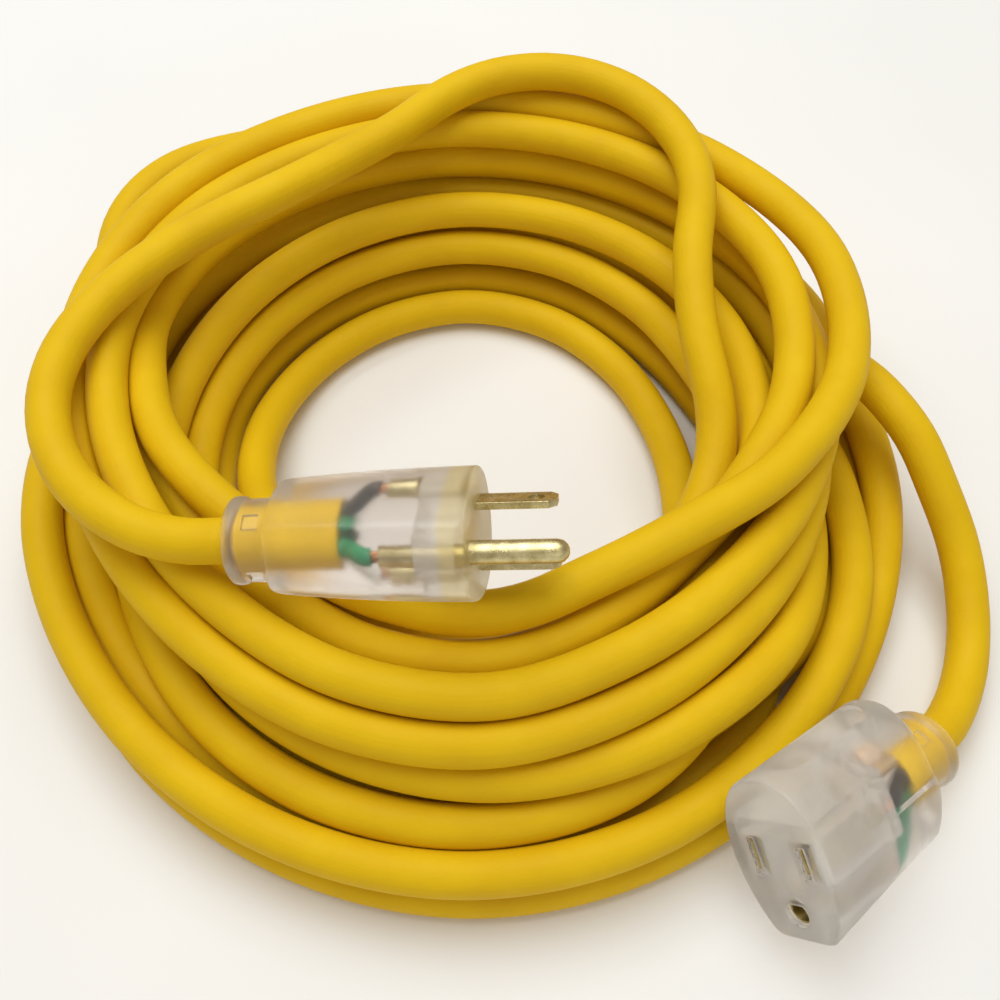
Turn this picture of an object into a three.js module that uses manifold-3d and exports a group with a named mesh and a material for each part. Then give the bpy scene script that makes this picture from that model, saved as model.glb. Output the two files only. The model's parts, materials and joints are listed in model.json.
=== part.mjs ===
// Outdoor extension cord, 25 ft (7.62 m) of three-conductor cord wound into a loose round coil.
// A moulded clear NEMA 5-15P plug lies across the inner rim of the coil, and a moulded clear
// NEMA 5-15R connector leans on its outer side. Millimetres, +Z up, standing on Z = 0.
//
// Each end is modelled in its own frame: +Z points out of its contact face, +Y towards the
// ground contact, and the contact face is the plane Z = 0.
import * as THREE from "three";
import { mergeVertices } from "three/addons/utils/BufferGeometryUtils.js";
import Module from "manifold-3d";

const wasm = await Module();
wasm.setup();

// ---- Driving dimensions ----------------------------------------------------------------------

const GAP = 0.3; // clearance between neighbouring pieces
const CUT_PAST = 2; // how far a cutter runs past the surface that it opens

const CORD_RADIUS = 4.9; // 12 AWG three-conductor outdoor cord, 9.8 mm across
const CORD_SIDES = 10;
const CORD_STEP = 22; // tube step along the route

// The coil: its cross-section's corners as [radius, height], anticlockwise from the inner foot.
const COIL_SECTION = [
  [62, 0],
  [99, 0],
  [103.6, 9],
  [103.6, 24],
  [99.5, 38],
  [90, 48],
  [77, 48],
  [67, 41.5],
  [61, 33],
  [59, 14],
];
const COIL_SEGMENTS = 60;

// The middle of the whole object's footprint, measured from the coil's axis.
const FOOTPRINT_X = 11.67;
const FOOTPRINT_Y = -5.19;

// NEMA 5-15 contact layout
const BLADE_OFFSET = 6.35; // each blade from the middle
const GROUND_OFFSET = 11.9; // ground pin from the line of the blades
const BLADE_THICK = 1.5;
const BLADE_WIDTH = 6.35;
const BLADE_REACH = 15.9; // beyond the face
const BLADE_CHAMFER = 1.6;
const BLADE_HOLE_RADIUS = 1.6;
const BLADE_HOLE_AT = 11.7; // from the face
const GROUND_RADIUS = 2.38;
const GROUND_REACH = 18.9;
const GROUND_SEAM = 0.7; // the open seam of the formed pin
const SEAM_TURN = -35; // degrees about the pin, from its -X side

// Conductors
const WIRE_RADIUS = 1.9; // insulated 12 AWG conductor
const STRAND_RADIUS = 1.3; // its bared, bunched strands
const LAY_RADIUS = 2.35; // conductors about the cord's axis
const BARREL_RADIUS = 2.3; // crimp barrel
const BARREL_BORE = 1.65;

// Plug, all depths measured back from the face
const PLUG = {
  at: [3, -47.6, 61.6], // middle of the contact face, from the coil's axis
  heading: -4.8, // degrees about Z, from +X
  pitch: 10, // degrees above the floor
  roll: 51, // degrees that the ground pin leans from straight up towards the front
  halfWidth: 13.3,
  domeY: -13.5,
  flatY: 17.5,
  flatHalf: 7.2,
  bodyDepth: 41.3,
  collarDepth: 51,
  cordY: 2.4, // the cord's axis
  narrowX: 0.12, // shares that the body loses in width and height by its back
  narrowY: 0.2,
  wallDepth: 2.2, // clear skin in front of the bridge
  bridgeDepth: 8,
  barrelFront: 11.5,
  barrelBack: 17.5,
  strandBack: 18.9,
  jacketFront: 26.6,
  chamberBack: 20.5, // where the T-shaped chamber ends
  stemFoot: 15.4, // how far the insert's stem reaches to the ground side
};

// Connector, all depths measured back from the face
const CONNECTOR = {
  at: [62.6, -103, 26],
  heading: 37, // degrees about Z, from +X, of the way from the face to the cord
  pitch: -16.5, // that way dips towards the floor
  roll: -52,
  halfWidth: 12.6,
  domeY: -17.7,
  flatY: 18,
  flatHalf: 7.4,
  bodyDepth: 40,
  collarDepth: 52,
  cordY: 0.6,
  wallDepth: 1,
  carrierBack: 22,
  capThick: 2.5,
  contactFront: 1.6,
  contactBack: 17,
  barrelBack: 21.4,
  strandBack: 25.6,
  jacketFront: 35.4,
  chamberBack: 34.4,
  stemFoot: 16.6,
};
const NECK_DEPTH = 32; // the connector tapers back to here
const NECK_GROUND = 0.16; // shares that its ground side and its domed side lose by there
const NECK_DOME = 0.06;

// The connector's contact openings in its face, and the pockets behind them
const SLOT_WIDTH = 2;
const HOT_SLOT_HEIGHT = 7;
const NEUTRAL_SLOT_HEIGHT = 8.6;
const GROUND_HOLE_RADIUS = 2.9;
const POCKET = { width: 5.6, height: 9.4, groundRadius: 3.2 };
const LEAF = 0.55; // sheet of the spring contacts

// The collar that carries the cord out of a moulded end
const COLLAR_RADIUS = 8.6;
const COLLAR_BEAD = 0.6; // the end bead stands this proud
const COLLAR_FLARE = 0.2; // the collar widens by this from its bead to the body
const BEAD_LENGTH = 2.4;
const BEAD_CHAMFER = 0.6;
const WINDOW = [3.4, 2.4, 3.6]; // width, depth and length of a core-pin window

// The T-shaped insert outline shared by the plug's bridge and the connector's carrier
const INSERT = { headHalf: 10.1, headTop: -8.4, headFoot: 6, stemHalf: 4.6 };

// Routes of the uncoiled cord, from the coil's axis: each starts at a moulded end's collar,
// and its last points lie inside the coil, where the cord joins the turns.
const PLUG_LEAD = [
  [-59.4, -44.2, 52.3],
  [-70.8, -41.2, 52.6],
  [-83, -33, 53.4],
  [-90.3, -21.8, 54.6],
  [-93, -8.5, 55.8],
  [-92.2, 4, 56.5],
  [-88, 16, 57],
  [-81, 27.5, 57],
  [-71.5, 38.5, 57],
  [-60, 48, 56.8],
  [-46, 56.8, 56.2],
  [-30, 66, 56],
  [-14, 78, 56],
  [2, 91.5, 56],
  [17, 102.5, 56],
  [30, 106, 56],
  [41.5, 101.5, 55.5],
  [49.5, 88, 55],
  [53.5, 70, 54.5],
  [55, 48, 54],
  [56.5, 27, 51],
  [59.5, 7, 43.5],
  [64, -11, 34],
];
const CONNECTOR_LEAD = [
  [111.3, -66.8, 7.5],
  [116, -61, 5.9],
  [120.2, -52.8, 5.3],
  [122, -45.5, 6.2],
  [122.1, -37, 9.4],
  [119.7, -25, 16.5],
  [115, -13, 24.5],
  [109, -1, 32],
  [101.5, 10.5, 36.2],
  [92.5, 21.5, 34.5],
];

// ---- Materials -------------------------------------------------------------------------------

function finish(color, roughness, metalness = 0) {
  return new THREE.MeshStandardMaterial({ color, roughness, metalness });
}

function clearFinish() {
  const material = finish(0xd9d2cc, 0.25);
  material.transparent = true;
  material.opacity = 0.45;
  return material;
}

const FINISH = {
  jacket: finish(0xe2c312, 0.55),
  clear: clearFinish(),
  insert: finish(0xe6e2dc, 0.5),
  brass: finish(0xbfb46a, 0.3, 1),
  copper: finish(0xb87345, 0.35, 1),
  black: finish(0x1c1c1e, 0.5),
  white: finish(0xe8e8e4, 0.5),
  green: finish(0x2f8f5b, 0.5),
  glass: finish(0xffd8b0, 0.1),
  resistor: finish(0xc9a877, 0.6),
  tinned: finish(0xb9bcc0, 0.35, 1),
};

// ---- Solids ----------------------------------------------------------------------------------

function toSolid(geometry) {
  const bare = geometry.index ? geometry.toNonIndexed() : geometry.clone();
  bare.deleteAttribute("normal");
  bare.deleteAttribute("uv");
  const merged = mergeVertices(bare, 1e-4);
  return new wasm.Manifold(
    new wasm.Mesh({
      numProp: 3,
      vertProperties: merged.attributes.position.array,
      triVerts: new Uint32Array(merged.index.array),
    }),
  );
}

function toGeometry(solid) {
  const mesh = solid.getMesh();
  const geometry = new THREE.BufferGeometry();
  geometry.setAttribute("position", new THREE.BufferAttribute(mesh.vertProperties, 3));
  geometry.setIndex(new THREE.BufferAttribute(mesh.triVerts, 1));
  geometry.computeVertexNormals();
  return geometry;
}

function joined(first, ...others) {
  return others.reduce((sum, geometry) => sum.add(toSolid(geometry)), toSolid(first));
}

function cut(solid, ...cutters) {
  return cutters.reduce((rest, geometry) => rest.subtract(toSolid(geometry)), solid);
}

// A solid of revolution about +Z from an anticlockwise profile of [radius, z] corners.
function turned(profile, segments = 20) {
  const points = profile.map(([radius, z]) => new THREE.Vector2(radius, z));
  return new THREE.LatheGeometry(points, segments).rotateX(Math.PI / 2);
}

function closedRing(profile, segments) {
  return turned([...profile, profile[0]], segments);
}

// A plain round bar along Z between two depths behind the face.
function bar(radius, front, back, x = 0, y = 0, segments = 16) {
  const corners = [
    [0, -back],
    [radius, -back],
    [radius, -front],
    [0, -front],
  ];
  return turned(corners, segments).translate(x, y, 0);
}

function box(width, height, front, back, x = 0, y = 0) {
  const depth = back - front;
  return new THREE.BoxGeometry(width, height, depth).translate(x, y, -(front + back) / 2);
}

// An outline extruded from the depth front to the depth back behind the face.
function slab(shape, front, back, steps = 1, curveSegments = 6) {
  const options = { depth: back - front, steps, curveSegments, bevelEnabled: false };
  return new THREE.ExtrudeGeometry(shape, options).translate(0, 0, -back);
}

// A round tube along a smooth curve through the points.
function tube(points, radius, sides, step) {
  const curve = new THREE.CatmullRomCurve3(points, false, "centripetal");
  const section = new THREE.Shape();
  for (let i = 0; i < sides; i++) {
    const turn = (2 * Math.PI * i) / sides;
    const x = radius * Math.cos(turn);
    const y = radius * Math.sin(turn);
    if (i === 0) section.moveTo(x, y);
    else section.lineTo(x, y);
  }
  section.closePath();
  const steps = Math.max(2, Math.ceil(curve.getLength() / step));
  return new THREE.ExtrudeGeometry(section, { steps, extrudePath: curve, bevelEnabled: false });
}

// Moves each vertex by a rule of its own position.
function reshaped(geometry, rule) {
  const position = geometry.attributes.position;
  for (let i = 0; i < position.count; i++) {
    const [x, y] = rule(position.getX(i), position.getY(i), -position.getZ(i));
    position.setXY(i, x, y);
  }
  return geometry;
}

// ---- Outlines --------------------------------------------------------------------------------

// The face of a moulded end: a dome over the blades that narrows to a flat at the ground side.
function shieldOutline({ halfWidth, domeY, flatY, flatHalf }) {
  const shape = new THREE.Shape();
  shape.moveTo(flatHalf, flatY);
  shape.bezierCurveTo(flatHalf + 3, 0.7 * flatY, halfWidth, 0.35 * flatY, halfWidth, 0);
  shape.bezierCurveTo(halfWidth, 0.6 * domeY, 0.62 * halfWidth, domeY, 0, domeY);
  shape.bezierCurveTo(-0.62 * halfWidth, domeY, -halfWidth, 0.6 * domeY, -halfWidth, 0);
  shape.bezierCurveTo(-halfWidth, 0.35 * flatY, -flatHalf - 3, 0.7 * flatY, -flatHalf, flatY);
  shape.closePath();
  return shape;
}

function insertOutline({ stemFoot }, margin) {
  const head = INSERT.headHalf + margin;
  const stem = INSERT.stemHalf + margin;
  const shape = new THREE.Shape();
  shape.moveTo(-head, INSERT.headTop - margin);
  shape.lineTo(head, INSERT.headTop - margin);
  shape.lineTo(head, INSERT.headFoot + margin);
  shape.lineTo(stem, INSERT.headFoot + margin);
  shape.lineTo(stem, stemFoot + margin);
  shape.lineTo(-stem, stemFoot + margin);
  shape.lineTo(-stem, INSERT.headFoot + margin);
  shape.lineTo(-head, INSERT.headFoot + margin);
  shape.closePath();
  return shape;
}

// ---- Pieces that both ends share -------------------------------------------------------------

// The collar behind a moulded body, with its end bead. It starts inside the body.
function collar({ bodyDepth, collarDepth, cordY }) {
  const beadFront = -collarDepth + BEAD_LENGTH;
  const profile = [
    [0, -collarDepth],
    [COLLAR_RADIUS, -collarDepth],
    [COLLAR_RADIUS + COLLAR_BEAD, -collarDepth + BEAD_CHAMFER],
    [COLLAR_RADIUS + COLLAR_BEAD, beadFront - BEAD_CHAMFER],
    [COLLAR_RADIUS, beadFront],
    [COLLAR_RADIUS + COLLAR_FLARE, -bodyDepth + CUT_PAST],
    [0, -bodyDepth + CUT_PAST],
  ];
  return turned(profile, 28).translate(0, cordY, 0);
}

// Four small square windows in the collar, left by the mould's core pins.
function collarWindows({ bodyDepth, collarDepth, cordY }) {
  const [width, depth, length] = WINDOW;
  const middle = (bodyDepth + collarDepth) / 2;
  return [45, 135, 225, 315].map((degrees) =>
    box(width, depth, middle - length / 2, middle + length / 2, 0, COLLAR_RADIUS)
      .rotateZ(THREE.MathUtils.degToRad(degrees))
      .translate(0, cordY, 0),
  );
}

function jacketEnd(end) {
  return bar(CORD_RADIUS, end.jacketFront, end.collarDepth, 0, end.cordY, 20);
}

function jacketBore(end) {
  const radius = CORD_RADIUS + GAP;
  return bar(radius, end.jacketFront - GAP, end.collarDepth + CUT_PAST, 0, end.cordY, 20);
}

// The three conductors: where each starts at its contact, and its place in the cord's lay.
// hotSide is +1 where the hot contact is on the +X side of the end's frame, and -1 otherwise.
function conductors(hotSide) {
  return [
    { name: "black", x: hotSide * BLADE_OFFSET, y: 0, layAngle: hotSide > 0 ? -30 : 210 },
    { name: "white", x: -hotSide * BLADE_OFFSET, y: 0, layAngle: hotSide > 0 ? 210 : -30 },
    { name: "green", x: 0, y: GROUND_OFFSET, layAngle: 90 },
  ];
}

function conductorWire(end, { x, y, layAngle }) {
  const angle = THREE.MathUtils.degToRad(layAngle);
  const layX = LAY_RADIUS * Math.cos(angle);
  const layY = end.cordY + LAY_RADIUS * Math.sin(angle);
  const front = end.strandBack + GAP;
  const back = end.jacketFront - GAP;
  const straight = 1.3;
  const points = [
    new THREE.Vector3(x, y, -front),
    new THREE.Vector3(x, y, -front - straight),
    new THREE.Vector3((x + layX) / 2, (y + layY) / 2, -(front + back) / 2),
    new THREE.Vector3(layX, layY, -back + straight),
    new THREE.Vector3(layX, layY, -back),
  ];
  return tube(points, WIRE_RADIUS, 10, straight);
}

function conductorStrands(end, barrelFront, { x, y }) {
  return bar(STRAND_RADIUS, barrelFront + 1 + GAP, end.strandBack, x, y, 12);
}

// A crimp barrel, closed at its front end.
function crimpBarrel(front, back, x, y) {
  const profile = [
    [0, -front - 1],
    [BARREL_BORE, -front - 1],
    [BARREL_BORE, -back],
    [BARREL_RADIUS, -back],
    [BARREL_RADIUS, -front],
    [0, -front],
  ];
  return turned(profile, 16).translate(x, y, 0);
}

// ---- Plug ------------------------------------------------------------------------------------

function plugBody() {
  const outer = reshaped(slab(shieldOutline(PLUG), 0, PLUG.bodyDepth, 10), (x, y, depth) => {
    const share = (depth / PLUG.bodyDepth) ** 2;
    return [x * (1 - PLUG.narrowX * share), y * (1 - PLUG.narrowY * share)];
  });
  const bladeSlots = [-BLADE_OFFSET, BLADE_OFFSET].map((x) =>
    box(BLADE_THICK + 2 * GAP, BLADE_WIDTH + 2 * GAP, -CUT_PAST, PLUG.wallDepth + 1, x, 0),
  );
  const pinRadius = GROUND_RADIUS + GAP;
  const pinHole = bar(pinRadius, -CUT_PAST, PLUG.wallDepth + 1, 0, GROUND_OFFSET);
  const chamber = slab(insertOutline(PLUG, GAP), PLUG.wallDepth, PLUG.chamberBack);
  const wireSpace = slab(wireSpaceOutline(PLUG), PLUG.chamberBack - 1, PLUG.jacketFront);
  return cut(
    joined(outer, collar(PLUG)),
    ...bladeSlots,
    pinHole,
    chamber,
    wireSpace,
    jacketBore(PLUG),
    ...collarWindows(PLUG),
  );
}

// The space behind an insert where the conductors run together: an oval about the cord's axis.
function wireSpaceOutline({ cordY }) {
  const shape = new THREE.Shape();
  shape.absellipse(0, cordY + 1.6, 9.4, 10.5, 0, 2 * Math.PI, false, 0);
  return shape;
}

function plugBridge() {
  const front = PLUG.wallDepth + GAP;
  const plate = slab(insertOutline(PLUG, 0), front, front + PLUG.bridgeDepth);
  const past = front + PLUG.bridgeDepth + CUT_PAST;
  const width = BLADE_THICK + 2 * GAP;
  const height = BLADE_WIDTH + 2 * GAP;
  const slots = [-BLADE_OFFSET, BLADE_OFFSET].map((x) => box(width, height, 0, past, x, 0));
  return cut(toSolid(plate), ...slots, bar(GROUND_RADIUS + GAP, 0, past, 0, GROUND_OFFSET));
}

function blade(x) {
  const half = BLADE_WIDTH / 2;
  const tail = -PLUG.barrelFront - 0.5;
  const outline = new THREE.Shape();
  outline.moveTo(tail, -half);
  outline.lineTo(BLADE_REACH - BLADE_CHAMFER, -half);
  outline.lineTo(BLADE_REACH, -half + BLADE_CHAMFER);
  outline.lineTo(BLADE_REACH, half - BLADE_CHAMFER);
  outline.lineTo(BLADE_REACH - BLADE_CHAMFER, half);
  outline.lineTo(tail, half);
  outline.closePath();
  const hole = new THREE.Path();
  hole.absarc(BLADE_HOLE_AT, 0, BLADE_HOLE_RADIUS, 0, 2 * Math.PI, true);
  outline.holes.push(hole);
  const options = { depth: BLADE_THICK, curveSegments: 8, bevelEnabled: false };
  const strip = new THREE.ExtrudeGeometry(outline, options)
    .translate(0, 0, -BLADE_THICK / 2)
    .rotateY(-Math.PI / 2)
    .translate(x, 0, 0);
  return joined(strip, crimpBarrel(PLUG.barrelFront, PLUG.barrelBack, x, 0));
}

// The ground pin is formed from sheet, so an open seam runs along its side.
function groundPin() {
  const nose = GROUND_RADIUS;
  const profile = [
    [0, -PLUG.barrelFront - 0.5],
    [GROUND_RADIUS, -PLUG.barrelFront - 0.5],
    [GROUND_RADIUS, GROUND_REACH - nose],
    [0.86 * GROUND_RADIUS, GROUND_REACH - 0.45 * nose],
    [0.5 * GROUND_RADIUS, GROUND_REACH - 0.1 * nose],
    [0.25 * GROUND_RADIUS, GROUND_REACH],
    [0, GROUND_REACH],
  ];
  const pin = turned(profile, 16).translate(0, GROUND_OFFSET, 0);
  const barrel = crimpBarrel(PLUG.barrelFront, PLUG.barrelBack, 0, GROUND_OFFSET);
  const seam = box(GROUND_RADIUS, GROUND_SEAM, -GROUND_REACH + 2, -1)
    .translate(-GROUND_RADIUS, 0, 0)
    .rotateZ(THREE.MathUtils.degToRad(SEAM_TURN))
    .translate(0, GROUND_OFFSET, 0);
  return cut(joined(pin, barrel), seam);
}

// ---- Connector -------------------------------------------------------------------------------

// Narrows the ground side towards the neck, for the connector's body and all inside it.
function connectorTaper(x, y, depth) {
  const share = Math.min(depth, NECK_DEPTH) / NECK_DEPTH;
  return y > 0 ? [x, y * (1 - NECK_GROUND * share)] : [x * (1 - NECK_DOME * share), y];
}

function connectorBody() {
  const shell = reshaped(slab(shieldOutline(CONNECTOR), 0, CONNECTOR.bodyDepth, 12), connectorTaper);
  const slotDepth = CONNECTOR.wallDepth + 1;
  const hotSlot = box(SLOT_WIDTH, HOT_SLOT_HEIGHT, -CUT_PAST, slotDepth, -BLADE_OFFSET, 0);
  const neutralSlot = box(SLOT_WIDTH, NEUTRAL_SLOT_HEIGHT, -CUT_PAST, slotDepth, BLADE_OFFSET, 0);
  const groundHole = bar(GROUND_HOLE_RADIUS, -CUT_PAST, slotDepth, 0, GROUND_OFFSET);
  const chamber = slab(insertOutline(CONNECTOR, GAP), CONNECTOR.wallDepth, CONNECTOR.chamberBack, 8);
  return cut(
    joined(shell, collar(CONNECTOR)),
    hotSlot,
    neutralSlot,
    groundHole,
    reshaped(chamber, connectorTaper),
    slab(wireSpaceOutline(CONNECTOR), CONNECTOR.chamberBack - 1, CONNECTOR.jacketFront),
    jacketBore(CONNECTOR),
    ...collarWindows(CONNECTOR),
    gripRecess(),
  );
}

// The long recess along the domed side.
function gripRecess() {
  const length = 30;
  const radius = 5;
  const depth = 1.2;
  const cutHeight = 6;
  const reach = length / 2 - radius;
  const outline = new THREE.Shape();
  outline.absarc(reach, 0, radius, -Math.PI / 2, Math.PI / 2, false);
  outline.absarc(-reach, 0, radius, Math.PI / 2, (3 * Math.PI) / 2, false);
  outline.closePath();
  const options = { depth: cutHeight, curveSegments: 8, bevelEnabled: false };
  return new THREE.ExtrudeGeometry(outline, options)
    .rotateX(Math.PI / 2)
    .rotateY(Math.PI / 2)
    .translate(0, CONNECTOR.domeY + depth, -CONNECTOR.bodyDepth / 2);
}

// The block that holds the contacts, with a pocket for each from front to back.
function contactCarrier() {
  const front = CONNECTOR.wallDepth + GAP;
  const block = slab(insertOutline(CONNECTOR, 0), front, CONNECTOR.carrierBack, 6);
  const past = CONNECTOR.carrierBack + CUT_PAST;
  return cut(
    toSolid(reshaped(block, connectorTaper)),
    box(POCKET.width, POCKET.height, 0, past, -BLADE_OFFSET, 0),
    box(POCKET.width, POCKET.height, 0, past, BLADE_OFFSET, 0),
    bar(POCKET.groundRadius, 0, past, 0, GROUND_OFFSET),
  );
}

function carrierCap() {
  const front = CONNECTOR.carrierBack + GAP;
  const back = front + CONNECTOR.capThick;
  const plate = reshaped(slab(insertOutline(CONNECTOR, 0), front, back), connectorTaper);
  const bore = STRAND_RADIUS + GAP;
  const holes = conductors(-1).map(({ x, y }) => bar(bore, front - 1, back + 1, x, y));
  return cut(toSolid(plate), ...holes);
}

// A fork of two spring leaves that grips a blade, with its crimp barrel behind.
function bladeContact(x, height) {
  const { contactFront, contactBack, barrelBack } = CONNECTOR;
  const leaf = [
    [1.6, contactFront],
    [1.35, contactFront + 2.6],
    [1.9, contactBack - 2],
    [1.9, contactBack],
  ];
  const inner = leaf.map(([half, depth]) => [half - LEAF, Math.min(depth, contactBack - LEAF)]);
  const mirrored = (corners) => corners.map(([half, depth]) => [-half, depth]);
  const corners = [
    ...leaf,
    ...mirrored(leaf).reverse(),
    ...mirrored(inner),
    ...inner.reverse(),
  ];
  const shape = new THREE.Shape(corners.map(([half, depth]) => new THREE.Vector2(half, depth)));
  const fork = new THREE.ExtrudeGeometry(shape, { depth: height, bevelEnabled: false })
    .translate(0, 0, -height / 2)
    .rotateX(-Math.PI / 2)
    .translate(x, 0, 0);
  return joined(fork, crimpBarrel(contactBack - 0.3, barrelBack, x, 0));
}

// A split tube that grips the ground pin, with its crimp barrel behind.
function groundContact() {
  const { contactFront, contactBack, barrelBack } = CONNECTOR;
  const inner = GROUND_RADIUS + 0.05;
  const socket = closedRing(
    [
      [inner, -contactBack],
      [inner + 0.45, -contactBack],
      [inner + 0.45, -contactFront],
      [inner, -contactFront],
    ],
    16,
  ).translate(0, GROUND_OFFSET, 0);
  const floor = bar(inner + 0.2, contactBack - 0.6, contactBack, 0, GROUND_OFFSET);
  const barrel = crimpBarrel(contactBack - 0.3, barrelBack, 0, GROUND_OFFSET);
  const slit = box(0.8, 4, contactFront - 1, contactBack - 2, 0, GROUND_OFFSET - 2);
  return cut(joined(socket, floor, barrel), slit);
}

// The neon lamp that shows the cord is live, beside the conductors behind the carrier.
const LAMP = { radius: 2.2, front: 26.4, back: 33.8, y: -5.6 };
const RESISTOR = { radius: 1.2, front: 26.8, back: 32.8, x: -4.9, y: -5.6 };
const TAP_RADIUS = 0.4;

function indicatorLamp() {
  const tip = LAMP.radius;
  const profile = [
    [0, -LAMP.back],
    [0.6 * LAMP.radius, -LAMP.back + 0.2 * tip],
    [LAMP.radius, -LAMP.back + tip],
    [LAMP.radius, -LAMP.front - 0.5],
    [0.7 * LAMP.radius, -LAMP.front],
    [0, -LAMP.front],
  ];
  return turned(profile, 16).translate(0, LAMP.y, 0);
}

function indicatorResistor() {
  return bar(RESISTOR.radius, RESISTOR.front, RESISTOR.back, RESISTOR.x, RESISTOR.y, 12);
}

// Bare lead from the lamp's base across to the neutral conductor's strands.
function lampTap() {
  const depth = -LAMP.front + GAP + TAP_RADIUS;
  const points = [
    new THREE.Vector3(0.8, LAMP.y, depth),
    new THREE.Vector3(3, LAMP.y + 0.4, depth),
    new THREE.Vector3(BLADE_OFFSET - 0.8, -3.6, depth),
    new THREE.Vector3(BLADE_OFFSET, -WIRE_RADIUS - GAP - 0.2, depth),
  ];
  return tube(points, TAP_RADIUS, 6, 1);
}

// Bare lead from the resistor's front end to the hot conductor's strands.
function resistorTap() {
  const depth = -LAMP.front + GAP + TAP_RADIUS;
  const points = [
    new THREE.Vector3(RESISTOR.x, RESISTOR.y, depth),
    new THREE.Vector3(RESISTOR.x - 0.9, RESISTOR.y + 1.4, depth),
    new THREE.Vector3(-BLADE_OFFSET, -WIRE_RADIUS - GAP - 0.2, depth),
  ];
  return tube(points, TAP_RADIUS, 6, 1);
}

// ---- Cord ------------------------------------------------------------------------------------

function coil() {
  return closedRing(COIL_SECTION, COIL_SEGMENTS);
}

// The coil swollen by the clearance, which trims the end of a lead that runs into it.
function coilClearance() {
  const middleRadius = 81;
  const middleZ = 24;
  const grown = COIL_SECTION.map(([radius, z]) => [
    radius + GAP * Math.sign(radius - middleRadius),
    z + GAP * Math.sign(z - middleZ),
  ]);
  return closedRing(grown, COIL_SEGMENTS);
}

// A lead starts square to a moulded end's collar and runs straight before it bends.
function lead(frame, end, route) {
  const start = new THREE.Vector3(0, end.cordY, -end.collarDepth - GAP).applyMatrix4(frame);
  const straight = new THREE.Vector3(0, end.cordY, -end.collarDepth - 4).applyMatrix4(frame);
  const points = [start, straight, ...route.map((point) => new THREE.Vector3(...point))];
  return cut(toSolid(tube(points, CORD_RADIUS, CORD_SIDES, CORD_STEP)), coilClearance());
}

// ---- Scene -----------------------------------------------------------------------------------

// The frame of a moulded end: +Z out of its face, +Y towards its ground contact.
// outward is the way that its face looks, and roll turns the ground side about it.
function endFrame(at, outward, roll) {
  const up = new THREE.Vector3(0, 0, 1);
  const level = new THREE.Vector3().crossVectors(up, outward).normalize();
  const rise = new THREE.Vector3().crossVectors(outward, level);
  const angle = THREE.MathUtils.degToRad(roll);
  const ground = rise.multiplyScalar(Math.cos(angle)).addScaledVector(level, Math.sin(angle));
  const across = new THREE.Vector3().crossVectors(ground, outward);
  return new THREE.Matrix4().makeBasis(across, ground, outward).setPosition(...at);
}

function direction(heading, pitch) {
  const azimuth = THREE.MathUtils.degToRad(heading);
  const rise = THREE.MathUtils.degToRad(pitch);
  const level = Math.cos(rise);
  return new THREE.Vector3(level * Math.cos(azimuth), level * Math.sin(azimuth), Math.sin(rise));
}

function piece(name, shape, material) {
  const geometry = shape.isBufferGeometry ? shape : toGeometry(shape);
  const mesh = new THREE.Mesh(geometry, material);
  mesh.name = name;
  return mesh;
}

// The pieces of the cord's own conductors inside a moulded end.
function conductorPieces(prefix, end, barrelFront, hotSide) {
  return conductors(hotSide).flatMap((conductor) => [
    piece(`${prefix}_wire_${conductor.name}`, conductorWire(end, conductor), FINISH[conductor.name]),
    piece(
      `${prefix}_strands_${conductor.name}`,
      conductorStrands(end, barrelFront, conductor),
      FINISH.copper,
    ),
  ]);
}

const plugFrame = endFrame(PLUG.at, direction(PLUG.heading, PLUG.pitch), -PLUG.roll);
const plug = new THREE.Group();
plug.add(
  piece("plug_body", plugBody(), FINISH.clear),
  piece("plug_bridge", plugBridge(), FINISH.insert),
  piece("blade_hot", blade(BLADE_OFFSET), FINISH.brass),
  piece("blade_neutral", blade(-BLADE_OFFSET), FINISH.brass),
  piece("ground_pin", groundPin(), FINISH.brass),
  piece("plug_jacket_end", jacketEnd(PLUG), FINISH.jacket),
  ...conductorPieces("plug", PLUG, PLUG.barrelFront, 1),
);
plug.applyMatrix4(plugFrame);

const toFace = direction(CONNECTOR.heading, CONNECTOR.pitch).negate();
const connectorFrame = endFrame(CONNECTOR.at, toFace, 180 + CONNECTOR.roll);
const connector = new THREE.Group();
connector.add(
  piece("connector_body", connectorBody(), FINISH.clear),
  piece("contact_carrier", contactCarrier(), FINISH.insert),
  piece("carrier_cap", carrierCap(), FINISH.insert),
  piece("contact_hot", bladeContact(-BLADE_OFFSET, 6.4), FINISH.brass),
  piece("contact_neutral", bladeContact(BLADE_OFFSET, 7.8), FINISH.brass),
  piece("contact_ground", groundContact(), FINISH.brass),
  piece("connector_jacket_end", jacketEnd(CONNECTOR), FINISH.jacket),
  piece("indicator_lamp", indicatorLamp(), FINISH.glass),
  piece("indicator_resistor", indicatorResistor(), FINISH.resistor),
  piece("lamp_tap", lampTap(), FINISH.tinned),
  piece("resistor_tap", resistorTap(), FINISH.tinned),
  ...conductorPieces("connector", CONNECTOR, CONNECTOR.contactBack - 0.3, -1),
);
connector.applyMatrix4(connectorFrame);

const cord = new THREE.Group();
cord.add(
  piece("cord_coil", coil(), FINISH.jacket),
  piece("plug_lead", lead(plugFrame, PLUG, PLUG_LEAD), FINISH.jacket),
  piece("connector_lead", lead(connectorFrame, CONNECTOR, CONNECTOR_LEAD), FINISH.jacket),
);

const extensionCord = new THREE.Group();
extensionCord.add(plug, connector, cord);
extensionCord.position.set(-FOOTPRINT_X, -FOOTPRINT_Y, 0);

export default extensionCord;
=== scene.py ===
import json
import math

import bmesh
import bpy
import numpy as np
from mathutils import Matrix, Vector
from mathutils.bvhtree import BVHTree


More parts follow.
